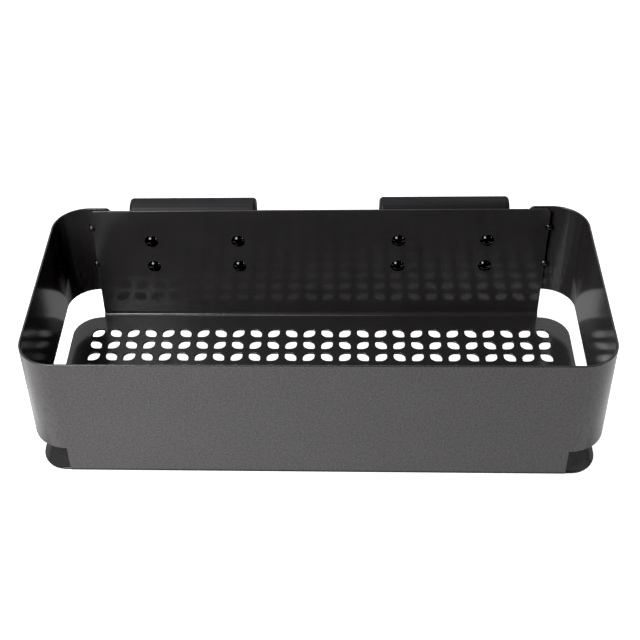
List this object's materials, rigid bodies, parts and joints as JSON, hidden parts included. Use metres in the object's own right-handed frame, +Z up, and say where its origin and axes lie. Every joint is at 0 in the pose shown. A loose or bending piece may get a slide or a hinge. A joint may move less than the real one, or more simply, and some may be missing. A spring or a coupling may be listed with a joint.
{
  "type": "cable tray",
  "caption": "Open-topped sheet-metal tray with a slotted base and a wrapped rim, hung on a rail by moulded hooks riveted to its back wall.",
  "frame": {"origin": "on the base's underside, at the centre of the rim's outer outline in plan", "axes": "+X along the tray's length, +Y towards the back wall and its hooks, +Z up"},
  "size_m": [0.3, 0.1454, 0.0793],
  "materials": {
    "powder_coat": "satin charcoal powder coat, fine texture",
    "hook_plastic": "fine matt, nearly black",
    "rivet_black": "gloss black",
    "weld_coat": "gloss coat pooled over a weld"
  },
  "bodies": {
    "root": {"tray_shell": "powder_coat", "left_hook": "hook_plastic", "right_hook": "hook_plastic", "left_hook_rivets": "rivet_black", "right_hook_rivets": "rivet_black", "rim_welds": "weld_coat"}
  },
  "joints": []
}
